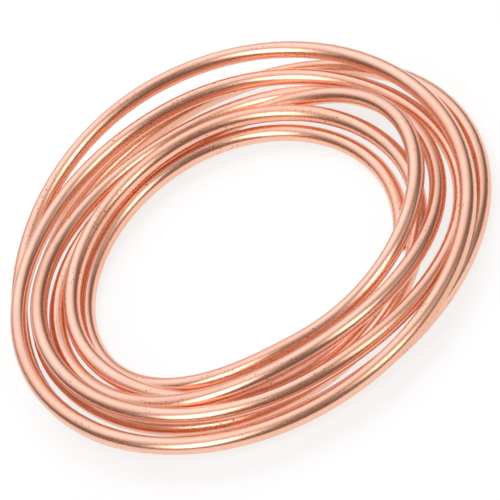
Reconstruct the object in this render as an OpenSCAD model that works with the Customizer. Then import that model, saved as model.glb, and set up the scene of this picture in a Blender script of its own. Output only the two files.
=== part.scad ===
/* [Tube] */
// Outside diameter of the tube
tube_d = 6; // [4:0.5:10]
// Thickness of the tube's wall
wall = 1; // [0.5:0.1:1.5]

/* [Coil] */
// Radius of the innermost turn, to the middle of the tube
eye_r = 51; // [45:1:90]
// Clearance between turns that lie against each other
turn_gap = 0.3; // [0.2:0.1:1]

/* [Hidden] */

bore_d = tube_d - 2 * wall;
pitch = tube_d + turn_gap;

// Sides of the tube's outside and of its bore, and rings to a quarter turn
sides = 16;
bore_sides = 8;
steps = 8;

// Quarter turns along the lay at which the tube begins and ends
start = 1.625;
stop = 29.375;

// Where the tube crosses the far, right, near and left side of the coil, turn by turn:
// tube spacings out from the innermost turn, and tube spacings up from the floor
lay = [
    [0.6, 0.0], [0.4, 0.0], [1.2, 0.0], [2.3, 1.2],
    [2.1, 1.6], [1.8, 0.8], [2.5, 0.0], [4.3, 0.0],
    [6.2, 0.0], [5.8, 0.2], [4.2, 0.2], [5.5, 0.0],
    [6.7, 2.4], [5.0, 1.2], [5.4, 1.2], [5.5, 1.6],
    [5.2, 1.6], [4.4, 0.0], [3.7, 1.5], [4.1, 2.0],
    [4.0, 0.6], [3.4, 0.9], [2.4, 2.1], [3.4, 1.0],
    [2.8, 0.5], [2.8, 2.3], [0.2, 1.1], [1.8, 0.0],
    [1.7, 0.6], [0.6, 0.0], [1.0, 0.0]
];

// Bearing of a place along the lay, clockwise from the far side
function bearing(k) = 90 - 90 * k;

// Place in the bundle: round from side to side in plan, and eased in height so that it never dips
function slot(k) =
    let (
        i = min(floor(k), len(lay) - 2),
        t = k - i,
        before = lay[max(i - 1, 0)],
        a = lay[i],
        b = lay[i + 1],
        after = lay[min(i + 2, len(lay) - 1)],
        leave = PI / 4 * (b[0] - before[0]),
        arrive = PI / 4 * (after[0] - a[0]),
        out = (2 * t ^ 3 - 3 * t ^ 2 + 1) * a[0] + (t ^ 3 - 2 * t ^ 2 + t) * leave
            + (3 * t ^ 2 - 2 * t ^ 3) * b[0] + (t ^ 3 - t ^ 2) * arrive,
        up = a[1] + (b[1] - a[1]) * (1 - cos(180 * t)) / 2
    )
        [out, up];

// Middle of the tube, in the round frame of the coil
function middle(k) =
    let (at = slot(k), r = eye_r + pitch * at[0])
        [r * cos(bearing(k)), r * sin(bearing(k)), tube_d / 2 + pitch * at[1]];

function unit(v) = v / norm(v);

// Direction in which the tube runs
function heading(k) = unit(middle(min(k + 0.01, stop)) - middle(max(k - 0.01, start)));

// Direction square to the tube, away from the middle of the coil
function outward(k) =
    let (ray = [cos(bearing(k)), sin(bearing(k)), 0], ahead = heading(k))
        unit(ray - (ray * ahead) * ahead);

// One round of corners about the middle of the tube
function ring(k, d, n) =
    let (out = outward(k), up = cross(out, heading(k)))
        [for (j = [0 : n - 1])
            middle(k) + d / 2 * (out * cos(360 * j / n) + up * sin(360 * j / n))];

rings = round((stop - start) * steps);
stations = [for (i = [0 : rings]) start + (stop - start) * i / rings];
outer = [for (k = stations) each ring(k, tube_d, sides)];
inner = [for (k = stations) each ring(k, bore_d, bore_sides)];

// Middle of the coil's outline on the floor
xs = [for (p = outer) p[0]];
ys = [for (p = outer) p[1]];
centre = [(min(xs) + max(xs)) / 2, (min(ys) + max(ys)) / 2, 0];

// Faces of the wall between rings of n corners, the first corner being numbered base
function wall_faces(base, n) =
    [for (i = [0 : rings - 1], j = [0 : n - 1])
        let (a = base + i * n + j, b = base + i * n + (j + 1) % n)
            [a, b, b + n, a + n]];

// Faces of the flat end that joins a ring of the outside to a ring of the bore
function end_faces(base, bore_base) =
    let (ratio = sides / bore_sides)
        [for (j = [0 : bore_sides - 1])
            let (p = j * ratio, a = bore_base + j, b = bore_base + (j + 1) % bore_sides)
                [a, b, base + (p + ratio) % sides, base + p + 1, base + p]];

function turned(faces) = [for (face = faces) [for (i = [len(face) - 1 : -1 : 0]) face[i]]];

// The whole length of tube, hollow and open at both ends
module tube() {
    first_inner = len(outer);
    faces = concat(
        wall_faces(0, sides),
        turned(wall_faces(first_inner, bore_sides)),
        end_faces(0, first_inner),
        turned(end_faces(rings * sides, first_inner + rings * bore_sides))
    );
    color("peru")
        translate(-centre)
            polyhedron(concat(outer, inner), faces);
}

tube();
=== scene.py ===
import math
from collections import namedtuple

import bpy
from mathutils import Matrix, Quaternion, Vector


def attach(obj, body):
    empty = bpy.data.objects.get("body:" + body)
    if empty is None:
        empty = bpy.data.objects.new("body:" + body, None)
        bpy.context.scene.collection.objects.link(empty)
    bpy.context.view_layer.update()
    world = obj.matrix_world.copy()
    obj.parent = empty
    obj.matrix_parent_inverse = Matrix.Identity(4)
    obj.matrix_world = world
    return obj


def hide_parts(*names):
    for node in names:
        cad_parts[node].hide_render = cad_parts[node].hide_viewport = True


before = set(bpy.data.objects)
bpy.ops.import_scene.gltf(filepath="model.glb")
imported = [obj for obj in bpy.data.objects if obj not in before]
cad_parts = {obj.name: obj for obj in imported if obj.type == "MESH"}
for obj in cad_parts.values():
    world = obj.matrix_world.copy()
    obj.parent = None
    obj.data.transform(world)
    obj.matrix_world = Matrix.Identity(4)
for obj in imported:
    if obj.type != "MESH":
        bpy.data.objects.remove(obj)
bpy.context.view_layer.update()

# The tube and its lay, as in the CAD: lengths in metres, places along the lay in quarter turns

TUBE_D = 0.006
WALL = 0.001
BORE_D = TUBE_D - 2 * WALL
EYE_R = 0.051           # radius of the innermost turn, to the middle of the tube
TURN_GAP = 0.0003       # clearance between turns that lie against each other
PITCH = TUBE_D + TURN_GAP

# Places at which the tube begins and ends
START = 1.625
STOP = 29.375

# Where the tube crosses the far, right, near and left side of the coil, turn by turn:
# tube spacings out from the innermost turn, and tube spacings up from the floor
LAY = [
    (0.6, 0.0), (0.4, 0.0), (1.2, 0.0), (2.3, 1.2),
    (2.1, 1.6), (1.8, 0.8), (2.5, 0.0), (4.3, 0.0),
    (6.2, 0.0), (5.8, 0.2), (4.2, 0.2), (5.5, 0.0),
    (6.7, 2.4), (5.0, 1.2), (5.4, 1.2), (5.5, 1.6),
    (5.2, 1.6), (4.4, 0.0), (3.7, 1.5), (4.1, 2.0),
    (4.0, 0.6), (3.4, 0.9), (2.4, 2.1), (3.4, 1.0),
    (2.8, 0.5), (2.8, 2.3), (0.2, 1.1), (1.8, 0.0),
    (1.7, 0.6), (0.6, 0.0), (1.0, 0.0),
]
ROUND_SLOPE = math.pi / 4   # keeps a turn that lies off centre close to a circle
HEADING_STEP = 0.01         # reach to either side when the tube's direction is taken

CAD_STEPS = 8       # rings to a quarter turn in the CAD
CAD_SIDES = 16      # corners to a ring in the CAD
FINER = 3           # rings here to each ring there
SIDES = 32          # corners to a ring here


def bearing(station):
    """Angle from +X of a place along the lay, which starts at the far side and runs clockwise."""
    return math.radians(90 - 90 * station)


def slot_at(station):
    """Place in the bundle, in tube spacings out from the innermost turn and up from the floor."""
    i = min(int(station), len(LAY) - 2)
    t = station - i
    before = LAY[max(i - 1, 0)]
    first = LAY[i]
    second = LAY[i + 1]
    after = LAY[min(i + 2, len(LAY) - 1)]
    leave = ROUND_SLOPE * (second[0] - before[0])
    arrive = ROUND_SLOPE * (after[0] - first[0])
    out = (
        (2 * t ** 3 - 3 * t ** 2 + 1) * first[0] + (t ** 3 - 2 * t ** 2 + t) * leave
        + (3 * t ** 2 - 2 * t ** 3) * second[0] + (t ** 3 - t ** 2) * arrive
    )
    up = first[1] + (second[1] - first[1]) * (1 - math.cos(math.pi * t)) / 2
    return out, up


def middle(station):
    """Middle of the tube, in the round frame of the coil."""
    out, up = slot_at(station)
    radius = EYE_R + PITCH * out
    angle = bearing(station)
    return Vector((radius * math.cos(angle), radius * math.sin(angle), TUBE_D / 2 + PITCH * up))


def heading(station):
    """Direction in which the tube runs."""
    onward = middle(min(station + HEADING_STEP, STOP))
    back = middle(max(station - HEADING_STEP, START))
    return (onward - back).normalized()


def ring(station, radius, shift=0.0):
    """Corners round the tube at a place, moved along it by shift."""
    angle = bearing(station)
    ray = Vector((math.cos(angle), math.sin(angle), 0))
    ahead = heading(station)
    out = (ray - ray.dot(ahead) * ahead).normalized()
    up = out.cross(ahead)
    heart = middle(station) + shift * ahead
    angles = [2 * math.pi * j / SIDES for j in range(SIDES)]
    return [heart + radius * (out * math.cos(a) + up * math.sin(a)) for a in angles]


def all_stations():
    """Places at which the tube gets a ring: the CAD's own and those between them."""
    count = round((STOP - START) * CAD_STEPS) * FINER
    return [START + (STOP - START) * i / count for i in range(count + 1)]


def coil_centre(stations):
    """Middle of the CAD coil's outline on the floor, from the CAD's own rings and corners only."""
    corners = [
        corner for station in stations[::FINER]
        for corner in ring(station, TUBE_D / 2)[::SIDES // CAD_SIDES]
    ]
    xs = [corner.x for corner in corners]
    ys = [corner.y for corner in corners]
    return Vector(((min(xs) + max(xs)) / 2, (min(ys) + max(ys)) / 2, 0))


# Mesh

RIM = 0.00025                       # bevel of the cut ends
SHARP_ANGLE = math.radians(50)      # edges that bend further than this are shaded sharp


def tube_rows(stations):
    """Rows along the outside and back through the bore: length along, radius and corners."""
    lengths = [0.0]
    for a, b in zip(stations, stations[1:]):
        lengths.append(lengths[-1] + (middle(b) - middle(a)).length)
    last = len(stations) - 1
    outer_r = TUBE_D / 2
    bore_r = BORE_D / 2

    def inset(i):
        if i == 0:
            return RIM
        return -RIM if i == last else 0.0

    def wall_row(i, radius):
        return lengths[i], radius, ring(stations[i], radius, inset(i))

    def end_row(i, radius, bevelled):
        return lengths[i], radius, ring(stations[i], bevelled)

    rows = [wall_row(i, outer_r) for i in range(last + 1)]
    rows.append(end_row(last, outer_r, outer_r - RIM))
    rows.append(end_row(last, bore_r, bore_r + RIM))
    rows += [wall_row(i, bore_r) for i in range(last, -1, -1)]
    rows.append(end_row(0, bore_r, bore_r + RIM))
    rows.append(end_row(0, outer_r, outer_r - RIM))
    return rows


def tube_faces(count):
    """Faces that join each row of corners to the next, and the last row to the first."""
    faces = []
    for i in range(count):
        step = ((i + 1) % count - i) * SIDES
        for j in range(SIDES):
            a = i * SIDES + j
            b = i * SIDES + (j + 1) % SIDES
            faces.append((a, b, b + step, a + step))
    return faces


def mark_run(mesh, rows):
    """Give each corner its length along the tube and its place round it, for the marks on the copper."""
    run = mesh.attributes.new("run", "FLOAT_VECTOR", "POINT")
    for i, (length, radius, _) in enumerate(rows):
        for j in range(SIDES):
            angle = 2 * math.pi * j / SIDES
            place = (length, radius * math.cos(angle), radius * math.sin(angle))
            run.data[i * SIDES + j].vector = place


def make_tube(stations, centre):
    """The whole length of tube, hollow and open at both ends, with its centre moved to the origin."""
    rows = tube_rows(stations)
    corners = [corner - centre for _, _, row in rows for corner in row]
    mesh = bpy.data.meshes.new("copper_tube")
    mesh.from_pydata(corners, [], tube_faces(len(rows)))
    mark_run(mesh, rows)
    mesh.validate()
    mesh.update()
    mesh.shade_smooth()
    mesh.set_sharp_from_angle(angle=SHARP_ANGLE)
    obj = bpy.data.objects.new("copper_tube", mesh)
    bpy.context.collection.objects.link(obj)
    return obj


# Node trees

# Sockets of a Mix node that is set to colours: its other kinds use the same names
MIX_FACTOR = 0
MIX_A = 6
MIX_B = 7
MIX_RESULT = 2


class Nodes:
    """A node tree with short calls to add to it."""

    def __init__(self, tree):
        self.tree = tree
        tree.nodes.clear()

    def add(self, kind, **settings):
        node = self.tree.nodes.new(kind)
        for name, value in settings.items():
            setattr(node, name, value)
        return node

    def link(self, source, target):
        self.tree.links.new(source, target)

    def put(self, socket, value):
        """Link a socket to the output given, or set it to the value given."""
        if isinstance(value, bpy.types.NodeSocket):
            self.link(value, socket)
        elif value is not None:
            socket.default_value = value

    def calculate(self, operation, a, b=None):
        node = self.add("ShaderNodeMath", operation=operation)
        for socket, value in zip(node.inputs, (a, b)):
            self.put(socket, value)
        return node.outputs[0]

    def times(self, a, b):
        return self.calculate("MULTIPLY", a, b)

    def stretch(self, vector, scale):
        node = self.add("ShaderNodeVectorMath", operation="MULTIPLY")
        self.link(vector, node.inputs[0])
        node.inputs[1].default_value = scale
        return node.outputs[0]

    def noise(self, vector, scale, detail):
        node = self.add("ShaderNodeTexNoise")
        self.link(self.stretch(vector, scale), node.inputs["Vector"])
        node.inputs["Scale"].default_value = 1.0
        node.inputs["Detail"].default_value = detail
        return node.outputs["Fac"]

    def between(self, value, low, high, to_low=0.0, to_high=1.0, smooth=True):
        """Carry the range from low to high over to another, eased at its ends where smooth."""
        kind = "SMOOTHSTEP" if smooth else "LINEAR"
        node = self.add("ShaderNodeMapRange", interpolation_type=kind)
        for socket, setting in zip(node.inputs, (value, low, high, to_low, to_high)):
            self.put(socket, setting)
        return node.outputs[0]

    def blend(self, factor, a, b):
        """Colour a where the factor is 0 and colour b where it is 1."""
        node = self.add("ShaderNodeMix", data_type="RGBA")
        self.put(node.inputs[MIX_FACTOR], factor)
        self.put(node.inputs[MIX_A], a)
        self.put(node.inputs[MIX_B], b)
        return node.outputs[MIX_RESULT]

    def bump(self, height, strength, distance, below=None):
        node = self.add("ShaderNodeBump")
        node.inputs["Strength"].default_value = strength
        node.inputs["Distance"].default_value = distance
        self.link(height, node.inputs["Height"])
        if below is not None:
            self.link(below, node.inputs["Normal"])
        return node.outputs["Normal"]


# Copper

COPPER = (0.97, 0.57, 0.42, 1)
COPPER_DEEP = (0.93, 0.50, 0.345, 1)
COPPER_DULL = (0.80, 0.43, 0.30, 1)
SPECK = (0.16, 0.075, 0.045, 1)

# Scale of each pattern to the metre: along the tube, then across it both ways
CLOUDS = (22, 190, 190)
STREAKS = (14, 1500, 1500)
DIE_LINES = (45, 5200, 5200)
GRAIN = (2800, 2800, 2800)
DENTS = (70, 160, 160)
SPECK_CELLS = (620, 1400, 1400)
SPECK_GROUPS = (34, 330, 330)
HAIRLINES = (26, 2500, 2500)
DRAGGED_PATCHES = (20, 240, 240)

# Value of a pattern at which a mark starts to show, and at which it shows in full
DEEP_FROM = (0.40, 0.68)
DULL_FROM = (0.55, 0.75)
GRAIN_FROM = (0.50, 0.74)
DOT_FROM = (0.36, 0.16)         # distance from the middle of a cell
CELL_FROM = (0.58, 0.64)        # only some cells hold a speck
GROUP_FROM = (0.55, 0.63)
HAIRLINE_FROM = (0.66, 0.74)
DRAGGED_FROM = (0.50, 0.64)

# How far each mark covers the copper
DULL_COVER = 0.35
SCRATCH_COVER = 0.40
SPECK_COVER = 0.80
GRAIN_COVER = 0.30

# Roughness by the clouds, and what the grain and the marks add to it
ROUGH_BY_CLOUD = (0.30, 0.70, 0.20, 0.28)
ROUGH_BY_GRAIN = (0.3, 0.7, -0.03, 0.05)
ROUGH_BY_MARK = 0.20

# Strength of each bump, and its height in metres
DENT_BUMP = (0.12, 0.0004)
DIE_LINE_BUMP = (0.06, 0.00006)
GRAIN_BUMP = (0.28, 0.00006)


def specks(nodes, run):
    """Small dashes along the tube, in scattered groups."""
    cells = nodes.add("ShaderNodeTexVoronoi")
    nodes.link(nodes.stretch(run, SPECK_CELLS), cells.inputs["Vector"])
    cells.inputs["Scale"].default_value = 1.0
    tint = nodes.add("ShaderNodeSeparateColor")
    nodes.link(cells.outputs["Color"], tint.inputs[0])
    dot = nodes.between(cells.outputs["Distance"], *DOT_FROM)
    chosen = nodes.between(tint.outputs[0], *CELL_FROM)
    group = nodes.between(nodes.noise(run, SPECK_GROUPS, detail=1), *GROUP_FROM)
    return nodes.times(nodes.times(dot, chosen), group)


def scratches(nodes, run):
    """Long hairlines where the tube was dragged along."""
    hair = nodes.between(nodes.noise(run, HAIRLINES, detail=1), *HAIRLINE_FROM)
    dragged = nodes.between(nodes.noise(run, DRAGGED_PATCHES, detail=1), *DRAGGED_FROM)
    return nodes.times(hair, dragged)


def copper_material():
    """Bright drawn copper: lengthwise die lines, a fine grain, faint tarnish, scratches and specks."""
    material = bpy.data.materials.new("copper")
    material.use_nodes = True
    nodes = Nodes(material.node_tree)
    run = nodes.add("ShaderNodeAttribute", attribute_name="run").outputs["Vector"]

    cloud = nodes.noise(run, CLOUDS, detail=3)
    streak = nodes.noise(run, STREAKS, detail=2)
    lines = nodes.noise(run, DIE_LINES, detail=2)
    grain = nodes.noise(run, GRAIN, detail=1)
    dents = nodes.noise(run, DENTS, detail=1)
    speck = specks(nodes, run)
    scratch = scratches(nodes, run)

    colour = nodes.blend(nodes.between(cloud, *DEEP_FROM), COPPER, COPPER_DEEP)
    dull = nodes.times(nodes.between(streak, *DULL_FROM), DULL_COVER)
    colour = nodes.blend(dull, colour, COPPER_DULL)
    colour = nodes.blend(nodes.times(scratch, SCRATCH_COVER), colour, SPECK)
    colour = nodes.blend(nodes.times(speck, SPECK_COVER), colour, SPECK)
    colour = nodes.blend(nodes.between(grain, *GRAIN_FROM, 0.0, GRAIN_COVER), colour, COPPER_DULL)

    rough = nodes.between(cloud, *ROUGH_BY_CLOUD, smooth=False)
    rough = nodes.calculate("ADD", rough, nodes.between(grain, *ROUGH_BY_GRAIN, smooth=False))
    mark = nodes.calculate("MAXIMUM", speck, scratch)
    rough = nodes.calculate("ADD", rough, nodes.times(mark, ROUGH_BY_MARK))

    normal = nodes.bump(dents, *DENT_BUMP)
    normal = nodes.bump(lines, *DIE_LINE_BUMP, below=normal)
    normal = nodes.bump(grain, *GRAIN_BUMP, below=normal)

    shader = nodes.add("ShaderNodeBsdfPrincipled")
    shader.inputs["Metallic"].default_value = 1.0
    nodes.link(colour, shader.inputs["Base Color"])
    nodes.link(rough, shader.inputs["Roughness"])
    nodes.link(normal, shader.inputs["Normal"])
    output = nodes.add("ShaderNodeOutputMaterial")
    nodes.link(shader.outputs[0], output.inputs["Surface"])
    return material


# Studio

WHITE = (1, 1, 1, 1)
UPWARD = Vector((0, 0, 1))

FLOOR_HALF = 4.0        # half the floor's width
FLOOR_ALBEDO = 0.26
FLOOR_LIFT = 0.765      # brings the lit floor up to white for the camera and in reflections
AMBIENT = (0.66, 0.66, 0.66, 1)     # the world's even light on the floor

# The room that the copper mirrors: its colour at the horizon, its colour higher up, and the upward
# part of a direction at which the second colour has taken over
HORIZON = (0.14, 0.098, 0.085, 1)
DARK_ROOM = (0.235, 0.18, 0.16, 1)
ROOM_RISE = 0.5

# What stands in that room, each over the ones before it: the direction of its middle, its reach
# sideways and upwards in degrees, the share of that reach which has its full colour, and the colour
Glow = namedtuple("Glow", "direction wide tall core colour")
SOFTBOX_AT = (-0.02, 0.62, 0.79)
CARD = Glow((0.74, -0.32, 0.59), wide=30, tall=32, core=0.2, colour=(0.58, 0.55, 0.53, 1))
SOFTBOX_EDGE = Glow(SOFTBOX_AT, wide=59, tall=59, core=0.70, colour=(0.80, 0.80, 0.84, 1))
SOFTBOX = Glow(SOFTBOX_AT, wide=46, tall=46, core=0.15, colour=(1.34, 1.34, 1.46, 1))
LEFT_LAMP = Glow((-0.66, -0.37, 0.65), wide=18, tall=34, core=0.15, colour=(5.0, 5.0, 4.9, 1))
RIGHT_LAMP = Glow((0.41, -0.58, 0.71), wide=17, tall=34, core=0.15, colour=(3.0, 3.0, 2.95, 1))
GLOWS = (CARD, SOFTBOX_EDGE, SOFTBOX, LEFT_LAMP, RIGHT_LAMP)


def seen(nodes):
    """The light path, and 1 for rays that show the background: straight, mirrored or through glass."""
    path = nodes.add("ShaderNodeLightPath")
    shown = path.outputs["Is Camera Ray"]
    for kind in ("Is Glossy Ray", "Is Transmission Ray"):
        shown = nodes.calculate("MAXIMUM", shown, path.outputs[kind])
    return path, shown


def floor():
    """A plain pale floor that keeps the coil's shadow."""
    half = FLOOR_HALF
    corners = [(-half, -half, 0), (half, -half, 0), (half, half, 0), (-half, half, 0)]
    mesh = bpy.data.meshes.new("floor")
    mesh.from_pydata(corners, [], [(0, 1, 2, 3)])
    obj = bpy.data.objects.new("floor", mesh)
    bpy.context.collection.objects.link(obj)

    material = bpy.data.materials.new("floor")
    material.use_nodes = True
    nodes = Nodes(material.node_tree)
    _, shown = seen(nodes)
    diffuse = nodes.add("ShaderNodeBsdfDiffuse")
    diffuse.inputs["Color"].default_value = (FLOOR_ALBEDO, FLOOR_ALBEDO, FLOOR_ALBEDO, 1)
    lift = nodes.add("ShaderNodeEmission")
    nodes.link(nodes.times(shown, FLOOR_LIFT), lift.inputs["Strength"])
    both = nodes.add("ShaderNodeAddShader")
    nodes.link(diffuse.outputs[0], both.inputs[0])
    nodes.link(lift.outputs[0], both.inputs[1])
    output = nodes.add("ShaderNodeOutputMaterial")
    nodes.link(both.outputs[0], output.inputs["Surface"])
    mesh.materials.append(material)


def oval(nodes, glow):
    """1 in the core of a glow's upright oval, falling to 0 at its edge."""
    look = nodes.add("ShaderNodeTexCoord").outputs["Generated"]
    front = Vector(glow.direction).normalized()
    side = front.cross(UPWARD).normalized()
    rise = side.cross(front)

    def along(axis):
        node = nodes.add("ShaderNodeVectorMath", operation="DOT_PRODUCT")
        nodes.link(look, node.inputs[0])
        node.inputs[1].default_value = axis
        return node.outputs["Value"]

    across = nodes.calculate("DIVIDE", along(side), math.sin(math.radians(glow.wide)))
    up = nodes.calculate("DIVIDE", along(rise), math.sin(math.radians(glow.tall)))
    squares = nodes.calculate("ADD", nodes.times(across, across), nodes.times(up, up))
    inside = nodes.between(nodes.calculate("SQRT", squares), 1.0, glow.core)
    ahead = nodes.calculate("GREATER_THAN", along(front), 0.0)
    return nodes.times(inside, ahead)


def studio():
    """The world: white to the camera, even light for the floor, and the room that the copper mirrors."""
    world = bpy.data.worlds.new("studio")
    bpy.context.scene.world = world
    world.use_nodes = True
    nodes = Nodes(world.node_tree)
    path, shown = seen(nodes)

    look = nodes.add("ShaderNodeSeparateXYZ")
    nodes.link(nodes.add("ShaderNodeTexCoord").outputs["Generated"], look.inputs[0])
    room = nodes.blend(nodes.between(look.outputs["Z"], 0.0, ROOM_RISE), HORIZON, DARK_ROOM)
    for glow in GLOWS:
        room = nodes.blend(oval(nodes, glow), room, glow.colour)
    room = nodes.blend(path.outputs["Is Camera Ray"], room, WHITE)
    colour = nodes.blend(shown, AMBIENT, room)

    background = nodes.add("ShaderNodeBackground")
    nodes.link(colour, background.inputs["Color"])
    output = nodes.add("ShaderNodeOutputWorld")
    nodes.link(background.outputs[0], output.inputs["Surface"])


def lamp(name, place, size, watts):
    """A square lamp aimed at the origin, for the floor's light and shadow."""
    light = bpy.data.lights.new(name, "AREA")
    light.shape = "SQUARE"
    light.size = size
    light.energy = watts
    obj = bpy.data.objects.new(name, light)
    obj.location = place
    obj.rotation_mode = "QUATERNION"
    obj.rotation_quaternion = (Vector((0, 0, 0)) - Vector(place)).to_track_quat("-Z", "Y")
    obj.visible_glossy = False      # the copper mirrors the lamps of the world's room instead
    bpy.context.collection.objects.link(obj)


# Camera

TILT = math.radians(42)     # how far above the floor it looks from
ROLL = math.radians(31)     # turn of the picture about the line of sight
AIM_HEIGHT = 0.0087         # metres above the floor
AIM_RIGHT = 0.0006          # metres, in the picture's own directions
AIM_UP = 0.0012
DISTANCE = 1.4
LENS = 291                  # millimetres, as is the sensor
SENSOR = 36


def camera(centre):
    """The camera at the photograph's angle, aimed close to the point that the turns go round."""
    data = bpy.data.cameras.new("camera")
    data.lens = LENS
    data.sensor_width = SENSOR
    obj = bpy.data.objects.new("camera", data)
    back = Vector((0, -math.cos(TILT), math.sin(TILT)))
    turn = (-back).to_track_quat("-Z", "Y") @ Quaternion((0, 0, 1), -ROLL)
    aim = Vector((-centre.x, -centre.y, AIM_HEIGHT)) + turn @ Vector((AIM_RIGHT, AIM_UP, 0))
    obj.location = aim + DISTANCE * back
    obj.rotation_mode = "QUATERNION"
    obj.rotation_quaternion = turn
    bpy.context.collection.objects.link(obj)
    bpy.context.scene.camera = obj


# The scene

stations = all_stations()
centre = coil_centre(stations)
tube = make_tube(stations, centre)
tube.data.materials.append(copper_material())
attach(tube, "root")
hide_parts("tube")

floor()
studio()
lamp("overhead", place=(0, 0.5, 1.3), size=1.2, watts=7)
lamp("left", place=(-1.1, -0.2, 0.9), size=0.4, watts=1)
camera(centre)
bpy.context.scene.view_settings.view_transform = "Standard"
